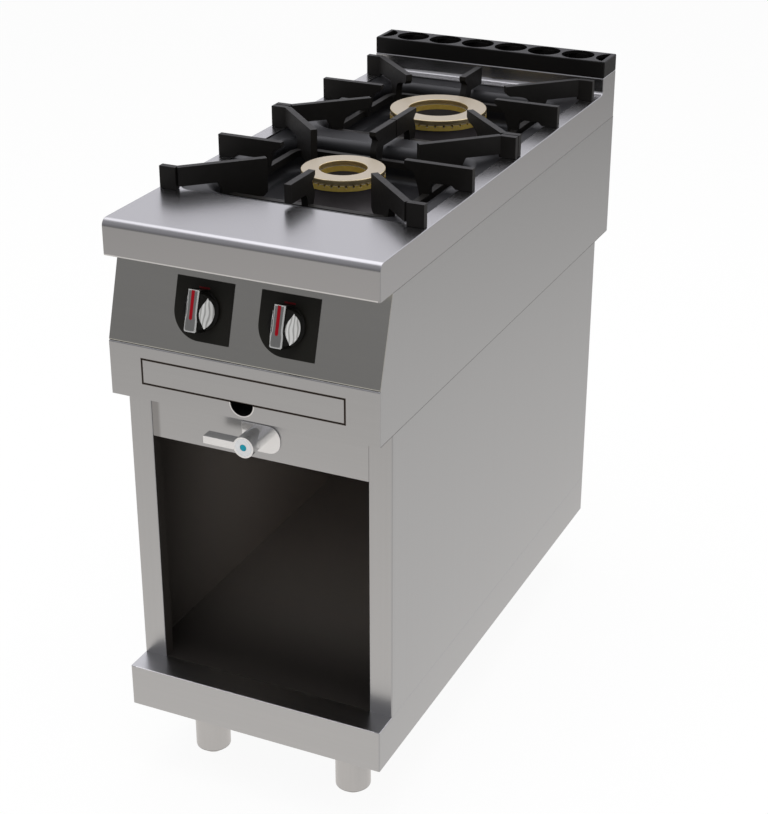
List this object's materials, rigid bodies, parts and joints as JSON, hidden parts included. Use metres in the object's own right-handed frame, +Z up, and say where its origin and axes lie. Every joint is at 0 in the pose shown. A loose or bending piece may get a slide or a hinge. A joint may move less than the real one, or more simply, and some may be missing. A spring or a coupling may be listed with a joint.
{
  "type": "gas range",
  "caption": "Free-standing commercial gas range with burners one behind the other, cast pan supports, slanted control panel, drip tray, tap and an open stand on round legs.",
  "frame": {"origin": "middle of the bounding box, at floor level", "axes": "+X to the right, +Y to the back, +Z up, front faces -Y"},
  "size_m": [0.4, 0.9198, 0.9127],
  "materials": {
    "stainless": "brushed",
    "zinc_steel": "zinc plated",
    "black_enamel": "gloss enamel",
    "cast_black": "matt black",
    "flue_black": "satin black",
    "burner_brass": "satin",
    "valve_brass": "turned",
    "gas_tube": "drawn",
    "copper": "drawn",
    "black_plastic": "gloss",
    "bezel_black": "satin",
    "bright_inlay": "polished",
    "tap_chrome": "polished",
    "blue_index": "gloss"
  },
  "bodies": {
    "range": {"plinth": "stainless", "cabinet_side_left": "stainless", "cabinet_side_right": "stainless", "cabinet_rail": "stainless", "cabinet_back": "stainless", "housing_side_left": "stainless", "housing_side_right": "stainless", "housing_back": "stainless", "control_panel": "stainless", "tray_fascia": "stainless", "worktop": "stainless", "leg_sleeves": "stainless", "leg_bearers": "zinc_steel", "leg_bolts": "zinc_steel", "back_screws": "zinc_steel", "housing_floor": "zinc_steel", "flue_duct": "zinc_steel", "tray_runners": "zinc_steel", "gas_manifold": "zinc_steel", "gas_inlet_pipe": "zinc_steel", "burner_pan": "black_enamel", "burner_body_front": "cast_black", "burner_body_rear": "cast_black", "injectors": "valve_brass", "valve_body_left": "valve_brass", "valve_body_right": "valve_brass", "pilots": "valve_brass", "supply_pipe_front": "gas_tube", "supply_pipe_rear": "gas_tube", "water_pipe": "copper", "thermocouples": "copper", "knob_bezels": "bezel_black", "tap_body": "tap_chrome", "tap_escutcheon": "tap_chrome", "fill_spout": "tap_chrome"},
    "foot_front_left": {"foot_front_left": "stainless"},
    "foot_front_right": {"foot_front_right": "stainless"},
    "foot_rear_left": {"foot_rear_left": "stainless"},
    "foot_rear_right": {"foot_rear_right": "stainless"},
    "grid_front": {"grid_front": "cast_black"},
    "grid_rear": {"grid_rear": "cast_black"},
    "flue_grille": {"flue_grille": "flue_black"},
    "burner_crown_front": {"burner_crown_front": "burner_brass"},
    "burner_crown_rear": {"burner_crown_rear": "burner_brass"},
    "burner_cap_front": {"burner_cap_front": "burner_brass"},
    "burner_cap_rear": {"burner_cap_rear": "burner_brass"},
    "valve_plug_left": {"valve_plug_left": "valve_brass"},
    "valve_plug_right": {"valve_plug_right": "valve_brass"},
    "knob_left": {"knob_left": "black_plastic", "knob_inlay_left": "bright_inlay", "valve_spindle_left": "valve_brass"},
    "knob_right": {"knob_right": "black_plastic", "knob_inlay_right": "bright_inlay", "valve_spindle_right": "valve_brass"},
    "tap_lever": {"tap_lever": "tap_chrome", "tap_index": "blue_index"},
    "drip_tray": {"drip_tray": "stainless", "drip_tray_front": "stainless"}
  },
  "joints": [
    {"name": "foot_front_left_screw", "type": "slide", "parent": "range", "child": "foot_front_left", "axis": [0, 0, -1], "range_m": [0, 0.045]},
    {"name": "foot_front_right_screw", "type": "slide", "parent": "range", "child": "foot_front_right", "axis": [0, 0, -1], "range_m": [0, 0.045]},
    {"name": "foot_rear_left_screw", "type": "slide", "parent": "range", "child": "foot_rear_left", "axis": [0, 0, -1], "range_m": [0, 0.045]},
    {"name": "foot_rear_right_screw", "type": "slide", "parent": "range", "child": "foot_rear_right", "axis": [0, 0, -1], "range_m": [0, 0.045]},
    {"name": "grid_front_lift", "type": "slide", "parent": "range", "child": "grid_front", "axis": [0, 0, 1], "range_m": [0, 0.08]},
    {"name": "burner_crown_front_lift", "type": "slide", "parent": "range", "child": "burner_crown_front", "axis": [0, 0, 1], "range_m": [0, 0.05]},
    {"name": "burner_cap_front_lift", "type": "slide", "parent": "burner_crown_front", "child": "burner_cap_front", "axis": [0, 0, 1], "range_m": [0, 0.03]},
    {"name": "grid_rear_lift", "type": "slide", "parent": "range", "child": "grid_rear", "axis": [0, 0, 1], "range_m": [0, 0.08]},
    {"name": "burner_crown_rear_lift", "type": "slide", "parent": "range", "child": "burner_crown_rear", "axis": [0, 0, 1], "range_m": [0, 0.05]},
    {"name": "burner_cap_rear_lift", "type": "slide", "parent": "burner_crown_rear", "child": "burner_cap_rear", "axis": [0, 0, 1], "range_m": [0, 0.03]},
    {"name": "flue_grille_lift", "type": "slide", "parent": "range", "child": "flue_grille", "axis": [0, 0, 1], "range_m": [0, 0.05]},
    {"name": "valve_turn_left", "type": "hinge", "parent": "range", "child": "valve_plug_left", "pos_m": [-0.0625, -0.42315, 0.7498], "axis": [0, -0.9556, 0.2946], "range_deg": [0, 210]},
    {"name": "knob_push_left", "type": "slide", "parent": "valve_plug_left", "child": "knob_left", "axis": [0, 0.9556, -0.2946], "range_m": [0, 0.003], "stiffness_N_per_m": 1500, "springref_m": -0.004},
    {"name": "valve_turn_right", "type": "hinge", "parent": "range", "child": "valve_plug_right", "pos_m": [0.0625, -0.42315, 0.7498], "axis": [0, -0.9556, 0.2946], "range_deg": [0, 210]},
    {"name": "knob_push_right", "type": "slide", "parent": "valve_plug_right", "child": "knob_right", "axis": [0, 0.9556, -0.2946], "range_m": [0, 0.003], "stiffness_N_per_m": 1500, "springref_m": -0.004},
    {"name": "tap_turn", "type": "hinge", "parent": "range", "child": "tap_lever", "pos_m": [0, -0.44158, 0.5705], "axis": [0, -1, 0], "range_deg": [0, 90]},
    {"name": "drip_tray_slide", "type": "slide", "parent": "range", "child": "drip_tray", "axis": [0, -1, 0], "range_m": [0, 0.69]}
  ]
}
